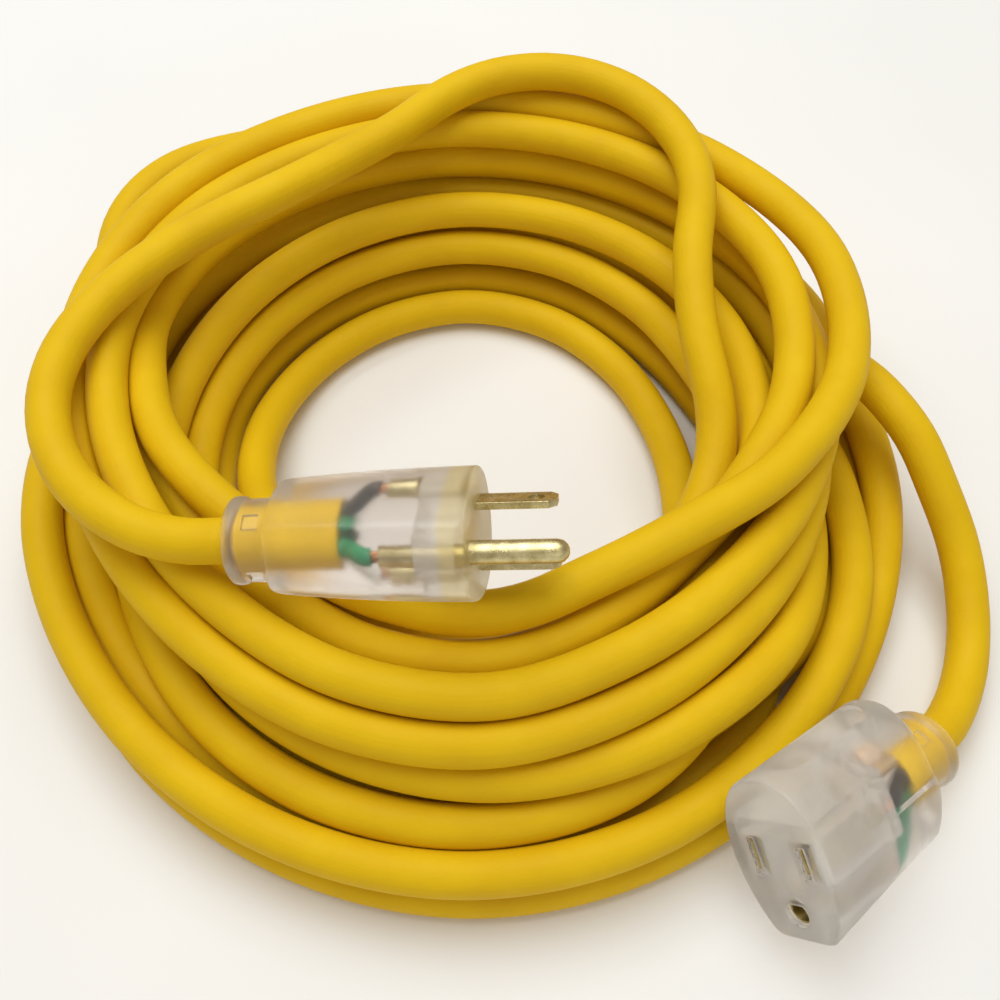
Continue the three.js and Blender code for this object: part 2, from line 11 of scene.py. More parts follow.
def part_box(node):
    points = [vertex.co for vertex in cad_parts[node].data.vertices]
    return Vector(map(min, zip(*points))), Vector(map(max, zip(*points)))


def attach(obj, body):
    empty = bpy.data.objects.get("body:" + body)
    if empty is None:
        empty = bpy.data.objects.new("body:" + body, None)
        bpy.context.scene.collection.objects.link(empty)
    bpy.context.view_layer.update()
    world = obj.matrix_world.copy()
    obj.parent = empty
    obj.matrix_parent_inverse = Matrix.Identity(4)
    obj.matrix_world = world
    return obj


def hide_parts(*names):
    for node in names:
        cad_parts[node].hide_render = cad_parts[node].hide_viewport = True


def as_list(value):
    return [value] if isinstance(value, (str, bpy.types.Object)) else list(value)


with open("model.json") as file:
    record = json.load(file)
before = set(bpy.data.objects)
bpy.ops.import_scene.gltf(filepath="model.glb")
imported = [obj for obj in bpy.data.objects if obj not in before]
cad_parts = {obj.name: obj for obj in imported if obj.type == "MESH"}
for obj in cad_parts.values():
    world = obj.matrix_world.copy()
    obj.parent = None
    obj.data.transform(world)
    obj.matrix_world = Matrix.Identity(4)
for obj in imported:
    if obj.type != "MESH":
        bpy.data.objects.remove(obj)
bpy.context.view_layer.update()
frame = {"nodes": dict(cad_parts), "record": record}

nodes = frame["nodes"]

# ---- Sizes -----------------------------------------------------------------------------------

MM = 0.001  # the frame is in metres
CORD_RADIUS = 4.9 * MM
CORD_SIDES = 24
STEP = 3.4 * MM  # between the points of the cord's route
LEAST_BEND = 40 * MM
PINNED = 8  # points at each end of the route that stay straight in their moulded end
TURNS = 14
FOOTPRINT = (11.67, -5.19)  # mm from the coil's axis to the frame's origin
MOST_WITH_CORD = 24  # how many of the made pieces are listed with the cord; the table takes no more pieces with one cord

# The moulded ends, in millimetres: depths are behind the contact face, and heights are from the
# blades' line towards the ground contact.
PLUG_DEPTH = 41.3
PLUG_COLLAR = 51
PLUG_CORD_Y = 2.4
CONNECTOR_DEPTH = 40
CONNECTOR_COLLAR = 52
CONNECTOR_CORD_Y = 0.6
CONNECTOR_DOME = -17.7  # the height of its domed side, which is away from the ground contact
BLADE_X = 6.35  # the blades' and slots' distance from the middle
GROUND_Y = 11.9  # from the blades' line to the ground pin

# Routes of the uncoiled cord in millimetres from the coil's axis, as the CAD model lays them but
# with the loop at the back a little wider and higher.
PLUG_LEAD = [
    (-59.4, -44.2, 52.3),
    (-70.8, -41.2, 52.6),
    (-83, -33, 53.4),
    (-90.3, -21.8, 54.6),
    (-93, -8.5, 55.8),
    (-92.2, 4, 56.5),
    (-88, 16, 57),
    (-81, 27.5, 57),
    (-71.5, 38.5, 57),
    (-60, 49, 56.8),
    (-46, 60, 56.4),
    (-30, 73, 56.2),
    (-14, 85.5, 56.8),
    (1.5, 96.5, 58),
    (11, 101.3, 59.2),
    (22, 105, 60),
    (34.5, 104.5, 60),
    (46.5, 98.5, 59),
    (54.5, 87.5, 57.5),
    (58, 74, 56),
    (58, 60, 55),
    (57.5, 45, 53.5),
    (57.3, 27, 50),
    (59.5, 7, 43.5),
    (64, -11, 34),
]
CONNECTOR_LEAD = [
    (111.3, -66.8, 7.5),
    (116, -61, 5.9),
    (120.2, -52.8, 5.3),
    (122, -45.5, 6.2),
    (122.1, -37, 9.4),
    (119.7, -25, 16.5),
    (115, -13, 24.5),
    (109, -1, 32),
    (101.5, 10.5, 36.2),
    (92.5, 21.5, 34.5),
]

# The coil's cross-section holds 14 places, as (radius, height) in millimetres. The front of the
# coil slopes outwards and its back slopes inwards, so each place has one spot in each.
FRONT_PLACES = [
    (59, 51.5), (65, 41), (75, 43.5), (83, 38), (86, 27), (93.5, 19.5), (102.5, 17), (104, 5.5),
    (58.5, 29), (72.5, 32.5), (76, 20), (85, 14), (94, 7), (67, 14),
]
BACK_PLACES = [
    (103, 49), (93, 47), (97, 36.5), (104, 28), (94, 27), (103, 18), (94, 15), (104, 7.5),
    (83, 30), (77, 19.5), (76, 8.5), (85, 13), (90, 5), (66, 5.5),
]
# Which place each turn takes as it passes the front, and then as it passes the back.
FRONT_ORDER = [8, 13, 12, 11, 6, 7, 10, 5, 4, 9, 3, 0, 2, 1]
BACK_ORDER = [13, 10, 7, 12, 5, 6, 9, 11, 8, 4, 0, 2, 1, 3]

# One turn strays outwards and upwards from the others at the back left.
STRAY_AT = -227 - 360 * 13
STRAY_WIDTH = 24
STRAY_OUT = 22
STRAY_UP = 13


# ---- Camera ----------------------------------------------------------------------------------

def make_camera():
    """Looks down on the coil's axis from in front, with the coil a little left of the middle."""
    elevation = math.radians(57)
    distance = 0.308
    camera = bpy.data.objects.new("camera", bpy.data.cameras.new("camera"))
    bpy.context.scene.collection.objects.link(camera)
    camera.data.sensor_width = 36
    camera.data.lens = 41.4
    camera.data.shift_x = 0.034
    camera.data.clip_start = 0.01
    camera.location = (
        -FOOTPRINT[0] * MM,
        -FOOTPRINT[1] * MM - distance * math.cos(elevation),
        distance * math.sin(elevation),
    )
    camera.rotation_euler = (math.pi / 2 - elevation, 0, 0)
    bpy.context.scene.camera = camera


make_camera()


# ---- Cord ------------------------------------------------------------------------------------

def smoothstep(t):
    t = np.clip(t, 0, 1)
    return t * t * (3 - 2 * t)


def coil_points():
    """The turns, clockwise from above, from where the plug's lead joins them to where the
    connector's lead leaves them, in millimetres from the coil's axis."""
    per_turn = 16
    places = []
    for turn in range(TURNS):
        places.append(FRONT_PLACES[FRONT_ORDER[turn]])
        places.append(BACK_PLACES[BACK_ORDER[turn]])
    places = np.array([(62, 40), *places, (92, 34)], float)
    start, stop = -24, 28 - 360 * TURNS  # degrees about the coil's axis
    count = round((start - stop) / (360 / per_turn)) + 1
    points = []
    for angle in np.linspace(start, stop, count):
        halves = (-90 - angle) / 180 + 1
        k = int(math.floor(halves))
        t = halves - k
        # Where in its half turn the cord changes place differs from turn to turn.
        middle = (0.45 if k % 2 else 0.56) + 0.05 * math.sin(2.4 * k)
        share = smoothstep((t - middle) / 0.6 + 0.5)
        radius, height = places[k] * (1 - share) + places[k + 1] * share
        sway = math.sin(math.radians(angle * 0.613)) + math.sin(math.radians(angle * 0.387 + 50))
        lift = math.sin(math.radians(angle * 0.471 + 120))
        radius += 1.2 * sway
        height += 1.0 * lift
        # The coil is narrower from side to side than from front to back.
        across = math.cos(math.radians(angle))
        narrowing = (12 if across > 0 else 4.5) * across ** 2 * (105 - radius) / 45
        narrowing += 3 * max(0, -across)
        radius -= narrowing * min(1, (start - angle) / 90)
        stray = math.exp(-(((angle - STRAY_AT) / STRAY_WIDTH) ** 2))
        radius += STRAY_OUT * stray
        height += STRAY_UP * stray
        turn = math.radians(angle)
        height = max(height, CORD_RADIUS / MM)
        points.append((radius * math.cos(turn), radius * math.sin(turn), height))
    return points


def spline(points, step):
    """A smooth curve through the points, with points a step apart."""
    p = np.array(points, float)
    p = np.vstack([2 * p[0] - p[1], p, 2 * p[-1] - p[-2]])
    fine = []
    for a, b, c, d in zip(p[:-3], p[1:-2], p[2:-1], p[3:]):
        ta = 0
        tb = ta + math.sqrt(np.linalg.norm(b - a))
        tc = tb + math.sqrt(np.linalg.norm(c - b))
        td = tc + math.sqrt(np.linalg.norm(d - c))
        for t in np.linspace(tb, tc, 12, endpoint=False):
            ab = a * (tb - t) / (tb - ta) + b * (t - ta) / (tb - ta)
            bc = b * (tc - t) / (tc - tb) + c * (t - tb) / (tc - tb)
            cd = c * (td - t) / (td - tc) + d * (t - tc) / (td - tc)
            abc = ab * (tc - t) / (tc - ta) + bc * (t - ta) / (tc - ta)
            bcd = bc * (td - t) / (td - tb) + cd * (t - tb) / (td - tb)
            fine.append(abc * (tc - t) / (tc - tb) + bcd * (t - tb) / (tc - tb))
    fine.append(p[-2])
    return resampled(np.array(fine), step)


def resampled(line, step):
    lengths = np.linalg.norm(np.diff(line, axis=0), axis=1)
    along = np.concatenate([[0], np.cumsum(lengths)])
    at = np.linspace(0, along[-1], round(along[-1] / step) + 1)
    return np.stack([np.interp(at, along, line[:, k]) for k in range(3)], axis=1)


def near_pairs(points, reach, apart):
    """Pairs of points nearer than reach that are more than apart places from each other."""
    square = (points * points).sum(1)
    far = square[:, None] + square[None, :] - 2 * points @ points.T
    first, second = np.nonzero(far < reach * reach)
    keep = second - first > apart
    return first[keep], second[keep]


def smoothed(field, passes):
    for _ in range(passes):
        middle = 0.25 * field[:-2] + 0.5 * field[1:-1] + 0.25 * field[2:]
        field = np.vstack([field[:1], middle, field[-1:]])
    return field


def eased(points, apart=3):
    """Opens any bend that is tighter than the cord takes."""
    ahead = points[2 * apart:] - points[apart:-apart]
    behind = points[apart:-apart] - points[:-2 * apart]
    bend = ahead - behind
    size = np.maximum(np.linalg.norm(bend, axis=1), 1e-9)
    most = np.linalg.norm(ahead, axis=1) * np.linalg.norm(behind, axis=1) / LEAST_BEND
    excess = bend * (0.25 * np.maximum(size - most, 0) / size)[:, None]
    points[apart:-apart] += excess
    points[:-2 * apart] -= 0.5 * excess
    points[2 * apart:] -= 0.5 * excess
    return points


def opened(points, passes):
    """The points with every tight bend eased, between ends that stay where they are."""
    line = points.copy()
    for apart in (10, 6, 3):
        for _ in range(passes):
            line = eased(line, apart)
            line[:4], line[-4:] = points[:4], points[-4:]
    return resampled(points + smoothed(line - points, 3), STEP)


def pushed_out(points, trees, clearance):
    for tree, low, high in trees:
        near = np.nonzero(((points > low - clearance) & (points < high + clearance)).all(1))[0]
        for i in near:
            place, normal, _, distance = tree.find_nearest(Vector(points[i]))
            away = Vector(points[i]) - place
            inside = away.dot(normal) < 0
            if inside:
                points[i] = place + normal * clearance
            elif distance < clearance:
                points[i] = place + away.normalized() * clearance
    return points


def obstacle(name):
    mesh = nodes[name].data
    co = [v.co for v in mesh.vertices]
    tree = BVHTree.FromPolygons(co, [tuple(p.vertices) for p in mesh.polygons])
    low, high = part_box(name)
    return tree, np.array(low), np.array(high)


def laid_under(points, end, clearance):
    """Lowers the points that lie in the way of a moulded end until they pass beneath it."""
    moved = points.copy()
    front = end.at(0, 2 * MM, 0)
    back = end.at(0, 2 * MM, -PLUG_COLLAR * MM)
    along = (back - front) / np.linalg.norm(back - front)
    for i, p in enumerate(points):
        depth = (p - front) @ along
        if -22 * MM < depth < 62 * MM:
            axis = front + along * depth
            off = p - axis
            reach = np.hypot(off[0], off[1])
            if reach < clearance and off[2] > -math.sqrt(clearance ** 2 - reach ** 2):
                moved[i, 2] = axis[2] - math.sqrt(clearance ** 2 - reach ** 2)
    return moved


def settled(route):
    """The route with its turns laid on and beside each other and none passing through another.

    Each round pushes apart the points that are too near, keeps them off the floor and off the
    moulded ends, and spreads the shift of each point along the cord, as its stiffness does."""
    width = 2 * CORD_RADIUS * 1.01
    apart = math.ceil(1.6 * width / STEP)
    lead = round(200 * MM / STEP)
    home = route.copy()
    home[lead:] = laid_under(route[lead:], PLUG_FRAME, 18.8 * MM)
    home = route + smoothed(home - route, 60)
    home = opened(home, 200)
    x = home.copy()
    trees = [obstacle("plug_body"), obstacle("connector_body")]
    loose = np.ones(len(x))
    loose[:PINNED] = 0
    loose[-PINNED:] = 0
    ease = smoothed(loose[:, None], 40)
    ease[:PINNED // 2] = 0
    ease[-PINNED // 2:] = 0
    rounds = 260
    sag = 0.02 * MM
    pull_home = 0.003
    for turn in range(rounds):
        last = turn > rounds * 0.8  # the last rounds don't sag and spread less, so that all settles
        if turn % 4 == 0:
            first, second = near_pairs(x, width * 1.3, apart)
        x[:, 2] -= sag * (not last)
        x += pull_home * (home - x)
        for _ in range(3):
            gap = x[second] - x[first]
            distance = np.maximum(np.linalg.norm(gap, axis=1), 1e-6)
            short = np.maximum(width - distance, 0)
            push = gap * (0.5 * short / distance)[:, None]
            move = np.zeros_like(x)
            hits = np.zeros(len(x))
            np.add.at(move, first, -push)
            np.add.at(move, second, push)
            np.add.at(hits, first, short > 0)
            np.add.at(hits, second, short > 0)
            x += ease * move * (1.4 / np.maximum(hits, 1.4))[:, None]
        if turn % 3 == 0 or last:
            x = pushed_out(x, trees, CORD_RADIUS * 1.02) * ease + x * (1 - ease)
        kept = x.copy()
        x = eased(x)
        x = x * ease + kept * (1 - ease)
        x[:, 2] = np.maximum(x[:, 2], CORD_RADIUS)
        shift = smoothed(x - home, 2 if last else 8)
        x = home + shift * ease
    return x


class EndFrame:
    """The frame of a moulded end: z out of its contact face, y to its ground contact."""

    def __init__(self, mount, height, hot, neutral, side):
        face = next(m for m in frame["record"]["mounts"] if m["name"] == mount)
        self.z = np.array(face["axis"], float)
        self.z /= np.linalg.norm(self.z)
        across = side * (middle_of(hot) - middle_of(neutral))
        self.x = across - self.z * (across @ self.z)
        self.x /= np.linalg.norm(self.x)
        self.y = np.cross(self.z, self.x)
        self.origin = np.array(face["pos_m"], float) - height * self.y

    def at(self, x, y, z):
        return self.origin + x * self.x + y * self.y + z * self.z


def middle_of(name):
    co = np.array([v.co for v in nodes[name].data.vertices])
    return 0.5 * (co.min(0) + co.max(0))


PLUG_FRAME = EndFrame("plug_face", 3.5 * MM, "blade_hot", "blade_neutral", 1)
CONNECTOR_FRAME = EndFrame("connector_face", 2.5 * MM, "contact_hot", "contact_neutral", -1)


def cord_exit(end, cord_y, collar):
    """Two points in line with the collar, so that the cord leaves it straight."""
    return [end.at(0, cord_y * MM, -collar * MM + back * MM) for back in (0, -4)]


def cord_route():
    shift = np.array([FOOTPRINT[0], FOOTPRINT[1], 0])
    laid = (np.array([*PLUG_LEAD, *coil_points(), *CONNECTOR_LEAD[::-1]]) - shift) * MM
    first = cord_exit(PLUG_FRAME, PLUG_CORD_Y, PLUG_COLLAR)
    last = cord_exit(CONNECTOR_FRAME, CONNECTOR_CORD_Y, CONNECTOR_COLLAR)
    return settled(spline([*first, *laid, *last[::-1]], STEP))


def tube(name, route, radius, sides):
    """A round tube along the route, closed at both ends, with u along it and v around it."""
    tangent = np.gradient(route, axis=0)
    tangent /= np.linalg.norm(tangent, axis=1)[:, None]
    side = np.cross(tangent[0], (0, 0, 1.0))
    side /= np.linalg.norm(side)
    sides_along = []
    for t in tangent:
        side = side - t * (side @ t)
        side /= np.linalg.norm(side)
        sides_along.append(side)
    side = np.array(sides_along)
    other = np.cross(tangent, side)
    turn = np.linspace(0, 2 * math.pi, sides, endpoint=False)
    across = np.cos(turn)[None, :, None] * side[:, None]
    upward = np.sin(turn)[None, :, None] * other[:, None]
    ring = across + upward
    points = (route[:, None] + radius * ring).reshape(-1, 3)
    faces = []
    count = len(route)
    for i in range(count - 1):
        for j in range(sides):
            k = (j + 1) % sides
            faces.append((i * sides + j, i * sides + k, (i + 1) * sides + k, (i + 1) * sides + j))
    faces.append(tuple(range(sides))[::-1])
    faces.append(tuple(range((count - 1) * sides, count * sides)))
    mesh = bpy.data.meshes.new(name)
    mesh.from_pydata(points.tolist(), [], faces)
    mesh.update()
    for polygon in mesh.polygons:
        polygon.use_smooth = len(polygon.vertices) == 4
    lengths = np.linalg.norm(np.diff(route, axis=0), axis=1)
    along = np.concatenate([[0], np.cumsum(lengths)])
    around = 2 * math.pi * radius / sides
    wall = []
    for i in range(count - 1):
        for j in range(sides):
            low, high = j * around, (j + 1) * around
            wall += [(along[i], low), (along[i], high), (along[i + 1], high), (along[i + 1], low)]
    wall += [(0, 0)] * sides + [(along[-1], 0)] * sides
    layer = mesh.uv_layers.new(name="UVMap")
    layer.data.foreach_set("uv", np.array(wall, np.float32).ravel())
    piece = bpy.data.objects.new(name, mesh)
    bpy.context.scene.collection.objects.link(piece)
    return piece


route = cord_route()
cord = tube("cord", route, CORD_RADIUS, CORD_SIDES)


# ---- Materials -------------------------------------------------------------------------------

def new_material(name, color, roughness, **sockets):
    """A Principled material with its even values set on the shader's own sockets."""
    material = bpy.data.materials.new(name)
    material.use_nodes = True
    shader = material.node_tree.nodes["Principled BSDF"]
    shader.inputs["Base Color"].default_value = (*color, 1)
    shader.inputs["Roughness"].default_value = roughness
    for socket, value in sockets.items():
        shader.inputs[socket.replace("_", " ")].default_value = value
    return material


def add(material, kind, **settings):
    node = material.node_tree.nodes.new(kind)
    for key, value in settings.items():
        setattr(node, key, value)
    return node


def noise(material, scale, detail=3.0, stretch=(1, 1, 1)):
    """Noise in the object's own coordinates, with scale in waves per metre."""
    links = material.node_tree.links
    place = add(material, "ShaderNodeTexCoord")
    mapping = add(material, "ShaderNodeMapping")
    mapping.inputs["Scale"].default_value = stretch
    texture = add(material, "ShaderNodeTexNoise")
    texture.inputs["Scale"].default_value = scale
    texture.inputs["Detail"].default_value = detail
    links.new(place.outputs["Object"], mapping.inputs["Vector"])
    links.new(mapping.outputs["Vector"], texture.inputs["Vector"])
    return texture.outputs["Fac"]


def streaks(material, along, around):
    """Noise drawn out along a cord, from the tube's own map of metres along and around it."""
    links = material.node_tree.links
    place = add(material, "ShaderNodeTexCoord")
    mapping = add(material, "ShaderNodeMapping")
    mapping.inputs["Scale"].default_value = (along, around, 1)
    texture = add(material, "ShaderNodeTexNoise")
    texture.inputs["Scale"].default_value = 1
    texture.inputs["Detail"].default_value = 4
    links.new(place.outputs["UV"], mapping.inputs["Vector"])
    links.new(mapping.outputs["Vector"], texture.inputs["Vector"])
    return texture.outputs["Fac"]


def ramp(material, value, stops):
    node = add(material, "ShaderNodeValToRGB")
    elements = node.color_ramp.elements
    while len(elements) < len(stops):
        elements.new(0.5)
    for element, (position, color) in zip(elements, stops):
        element.position = position
        element.color = (*color, 1) if hasattr(color, "__len__") else (color, color, color, 1)
    material.node_tree.links.new(value, node.inputs["Fac"])
    return node.outputs["Color"]


def color_from(material, value, stops):
    shader = material.node_tree.nodes["Principled BSDF"]
    material.node_tree.links.new(ramp(material, value, stops), shader.inputs["Base Color"])


def roughness_from(material, value, low, high):
    node = add(material, "ShaderNodeMapRange")
    node.inputs["From Min"].default_value = 0.3
    node.inputs["From Max"].default_value = 0.7
    node.inputs["To Min"].default_value = low
    node.inputs["To Max"].default_value = high
    material.node_tree.links.new(value, node.inputs["Value"])
    shader = material.node_tree.nodes["Principled BSDF"]
    material.node_tree.links.new(node.outputs["Result"], shader.inputs["Roughness"])


def bump_from(material, *layers):
    """Stacks bumps, each given as (value, depth in metres)."""
    links = material.node_tree.links
    normal = None
    for value, depth in layers:
        node = add(material, "ShaderNodeBump")
        node.inputs["Distance"].default_value = depth
        links.new(value, node.inputs["Height"])
        if normal:
            links.new(normal, node.inputs["Normal"])
        normal = node.outputs["Normal"]
    links.new(normal, material.node_tree.nodes["Principled BSDF"].inputs["Normal"])


def jacket_material():
    material = new_material("jacket_vinyl", (0.735, 0.47, 0.005), 0.58, Specular_IOR_Level=0.14)
    color_from(material, noise(material, 55, 4), [
        (0.3, (0.70, 0.435, 0.005)),
        (0.55, (0.735, 0.470, 0.005)),
        (0.75, (0.765, 0.500, 0.007)),
    ])
    roughness_from(material, noise(material, 160, 5), 0.52, 0.66)
    bump_from(
        material,
        (streaks(material, 12, 900), 0.00006),
        (noise(material, 140, 3), 0.00025),
        (noise(material, 2600, 2), 0.00003),
    )
    return material


def along_end(material, end):
    """How many metres a place lies behind the end's contact face."""
    place = add(material, "ShaderNodeTexCoord")
    inward = add(material, "ShaderNodeVectorMath", operation="DOT_PRODUCT")
    inward.inputs[1].default_value = tuple(-end.z)
    shift = add(material, "ShaderNodeMath", operation="ADD")
    shift.inputs[1].default_value = float(end.origin @ end.z)
    material.node_tree.links.new(place.outputs["Object"], inward.inputs[0])
    material.node_tree.links.new(inward.outputs["Value"], shift.inputs[0])
    return shift.outputs["Value"]


def clear_material(name, tint=(0.81, 0.765, 0.745), end=None, face_band=None):
    """Frosted clear vinyl, with another colour in a band behind the end's contact face; the
    connector's lighter band is painted light.
    """
    material = new_material(
        name, tint, 0.3, IOR=1.45, Transmission_Weight=0.94, Specular_IOR_Level=0.5,
    )
    if end:
        depth = add(material, "ShaderNodeMapRange")
        depth.inputs["From Max"].default_value = 10 * MM
        material.node_tree.links.new(along_end(material, end), depth.inputs["Value"])
        # The band at the contact face takes its own colour. On the connector that colour is
        # lighter: painted light on a face that the lamps leave in shade.
        color_from(material, depth.outputs["Result"], [(0.0, face_band), (0.45, face_band), (0.6, tint)])
    roughness_from(material, noise(material, 90, 1), 0.28, 0.38)
    bump_from(material, (noise(material, 60, 0), 0.00006))
    return lit_through(material, (0.84, 0.80, 0.77))


def bore_material():
    """The same vinyl where a polished core pin shaped it."""
    material = new_material(
        "clear_vinyl_bore", (0.92, 0.89, 0.86), 0.08, IOR=1.45, Transmission_Weight=0.95,
    )
    roughness_from(material, noise(material, 420, 4), 0.06, 0.14)
    bump_from(material, (noise(material, 300, 2), 0.00003))
    return lit_through(material, (0.9, 0.87, 0.84))


def lit_through(material, tint):
    """Lets the lamps reach what the clear material shuts in."""
    tree = material.node_tree
    shader = tree.nodes["Principled BSDF"]
    output = tree.nodes["Material Output"]
    rays = add(material, "ShaderNodeLightPath")
    passing = add(material, "ShaderNodeBsdfTransparent")
    passing.inputs["Color"].default_value = (*tint, 1)
    mix = add(material, "ShaderNodeMixShader")
    tree.links.new(rays.outputs["Is Shadow Ray"], mix.inputs["Fac"])
    tree.links.new(shader.outputs["BSDF"], mix.inputs[1])
    tree.links.new(passing.outputs["BSDF"], mix.inputs[2])
    tree.links.new(mix.outputs["Shader"], output.inputs["Surface"])
    return material


def insert_material():
    material = new_material(
        "milky_insulator", (0.94, 0.93, 0.91), 0.5, IOR=1.1, Transmission_Weight=0.78,
    )
    color_from(material, noise(material, 300, 3), [
        (0.3, (0.92, 0.90, 0.87)),
        (0.7, (0.97, 0.96, 0.94)),
    ])
    bump_from(material, (noise(material, 900, 3), 0.00005))
    return lit_through(material, (0.9, 0.89, 0.88))


def metal_material(name, dark, bright, roughness, grain=(1, 1, 1)):
    material = new_material(name, bright, roughness, Metallic=1.0)
    color_from(material, noise(material, 420, 4), [(0.3, dark), (0.62, bright)])
    roughness_from(material, noise(material, 700, 3), roughness - 0.06, roughness + 0.1)
    bump_from(material, (noise(material, 1500, 3, grain), 0.00004))
    return material


def plastic_material(name, color, roughness):
    material = new_material(name, color, roughness)
    darker = tuple(0.85 * c for c in color)
    lighter = tuple(min(1, 1.08 * c) for c in color)
    color_from(material, noise(material, 350, 3), [(0.3, darker), (0.7, lighter)])
    roughness_from(material, noise(material, 500, 3), roughness - 0.05, roughness + 0.08)
    bump_from(material, (noise(material, 1200, 3), 0.00004))
    return material


def lamp_material():
    material = new_material(
        "lamp_glass", (1.0, 0.86, 0.74), 0.06, IOR=1.45, Transmission_Weight=0.9,
    )
    roughness_from(material, noise(material, 600, 2), 0.04, 0.12)
    bump_from(material, (noise(material, 500, 2), 0.00005))
    return lit_through(material, (0.95, 0.8, 0.7))


LOOKS = {
    "jacket": jacket_material(),
    "clear_pvc": clear_material("clear_vinyl"),
    "clear_bore": bore_material(),
    "insert": insert_material(),
    "brass": metal_material("blade_brass", (0.50, 0.42, 0.20), (0.72, 0.64, 0.36), 0.27, (1, 8, 8)),
    "contact_brass": metal_material("spring_brass", (0.40, 0.32, 0.12), (0.58, 0.48, 0.20), 0.32),
    "copper": metal_material("bare_copper", (0.42, 0.19, 0.09), (0.72, 0.38, 0.20), 0.3),
    "insulation_black": plastic_material("black_insulation", (0.02, 0.02, 0.022), 0.45),
    "insulation_white": plastic_material("white_insulation", (0.78, 0.78, 0.75), 0.45),
    "insulation_green": plastic_material("green_insulation", (0.02, 0.30, 0.13), 0.45),
    "lamp_glass": lamp_material(),
    "resistor_body": plastic_material("resistor_lacquer", (0.50, 0.36, 0.20), 0.4),
    "tinned_wire": metal_material("tinned_lead", (0.42, 0.43, 0.45), (0.66, 0.67, 0.69), 0.28),
}
SLOT_OF = {s["node"]: s["material_slot"] for s in frame["record"]["subparts"]}


def dressed(piece, slot, *replaced):
    """Gives a new piece the material of its slot, hangs it from the root and hides the CAD nodes
    that it stands for.
    """
    piece.data.materials.clear()
    piece.data.materials.append(LOOKS[slot])
    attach(piece, "root")
    if replaced:
        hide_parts(*replaced)
    return piece


def object_from(name, points, faces):
    mesh = bpy.data.meshes.new(name)
    mesh.from_pydata([tuple(p) for p in points], [], faces)
    mesh.update()
    piece = bpy.data.objects.new(name, mesh)
    bpy.context.scene.collection.objects.link(piece)
    return piece


def smooth_by_angle(mesh, degrees):
    mesh.shade_smooth()
    mesh.set_sharp_from_angle(angle=math.radians(degrees))


# ---- Moulded ends ----------------------------------------------------------------------------

def bezier(a, b, c, d, count):
    t = np.linspace(0, 1, count, endpoint=False)[:, None]
    a, b, c, d = (np.array(p, float) for p in (a, b, c, d))
    return (1 - t) ** 3 * a + 3 * (1 - t) ** 2 * t * b + 3 * (1 - t) * t ** 2 * c + t ** 3 * d


def shield(half_width, dome, flat, flat_half):
    """The outline of a moulded end's face, in millimetres: a dome that narrows to a flat."""
    side = (half_width, 0)
    outline = [
        bezier((flat_half, flat), (flat_half + 3, 0.7 * flat), (half_width, 0.35 * flat), side, 18),
        bezier(side, (half_width, 0.6 * dome), (0.62 * half_width, dome), (0, dome), 16),
    ]
    right = np.vstack([*outline, [(0, dome)]])
    left = right[-2::-1] * (-1, 1)
    foot = np.linspace((-flat_half, flat), (flat_half, flat), 13)[1:-1]
    outline = even_loop(np.vstack([right, left, foot]), 120)
    for _ in range(6):
        outline = 0.25 * np.roll(outline, 1, 0) + 0.5 * outline + 0.25 * np.roll(outline, -1, 0)
    return outline


def even_loop(outline, count):
    closed = np.vstack([outline, outline[:1]])
    lengths = np.linalg.norm(np.diff(closed, axis=0), axis=1)
    along = np.concatenate([[0], np.cumsum(lengths)])
    at = np.linspace(0, along[-1], count, endpoint=False)
    return np.stack([np.interp(at, along, closed[:, k]) for k in range(2)], axis=1)


def inset(outline, distance):
    """The outline moved inwards by the distance, square to itself, and eased at its corners."""
    along = np.roll(outline, -1, axis=0) - np.roll(outline, 1, axis=0)
    normal = np.stack([-along[:, 1], along[:, 0]], axis=1)
    normal /= np.linalg.norm(normal, axis=1)[:, None]
    middle = outline.mean(0)
    sign = np.sign(((middle - outline) * normal).sum())
    moved = outline + sign * distance * normal
    for _ in range(round(7 * distance)):
        moved = 0.25 * np.roll(moved, 1, 0) + 0.5 * moved + 0.25 * np.roll(moved, -1, 0)
    return moved


def lofted(name, end, rings):
    """A closed skin through rings of (outline, depth behind the face), in millimetres."""
    count = len(rings[0][0])
    points = []
    for outline, depth in rings:
        for x, y in outline:
            points.append(end.at(x * MM, y * MM, -depth * MM))
    faces = []
    for i in range(len(rings) - 1):
        for j in range(count):
            k = (j + 1) % count
            faces.append((i * count + j, i * count + k, (i + 1) * count + k, (i + 1) * count + j))
    faces.append(tuple(range(count))[::-1])
    last = (len(rings) - 1) * count
    faces.append(tuple(range(last, last + count)))
    piece = object_from(name, points, faces)
    facing_out(piece.data)
    return piece


def facing_out(mesh):
    shape = bmesh.new()
    shape.from_mesh(mesh)
    bmesh.ops.recalc_face_normals(shape, faces=shape.faces)
    if shape.calc_volume(signed=True) < 0:
        bmesh.ops.reverse_faces(shape, faces=shape.faces)
    shape.to_mesh(mesh)
    shape.free()


def round_outline(like, centre, radius):
    away = like - np.array(centre)
    return np.array(centre) + radius * away / np.linalg.norm(away, axis=1)[:, None]


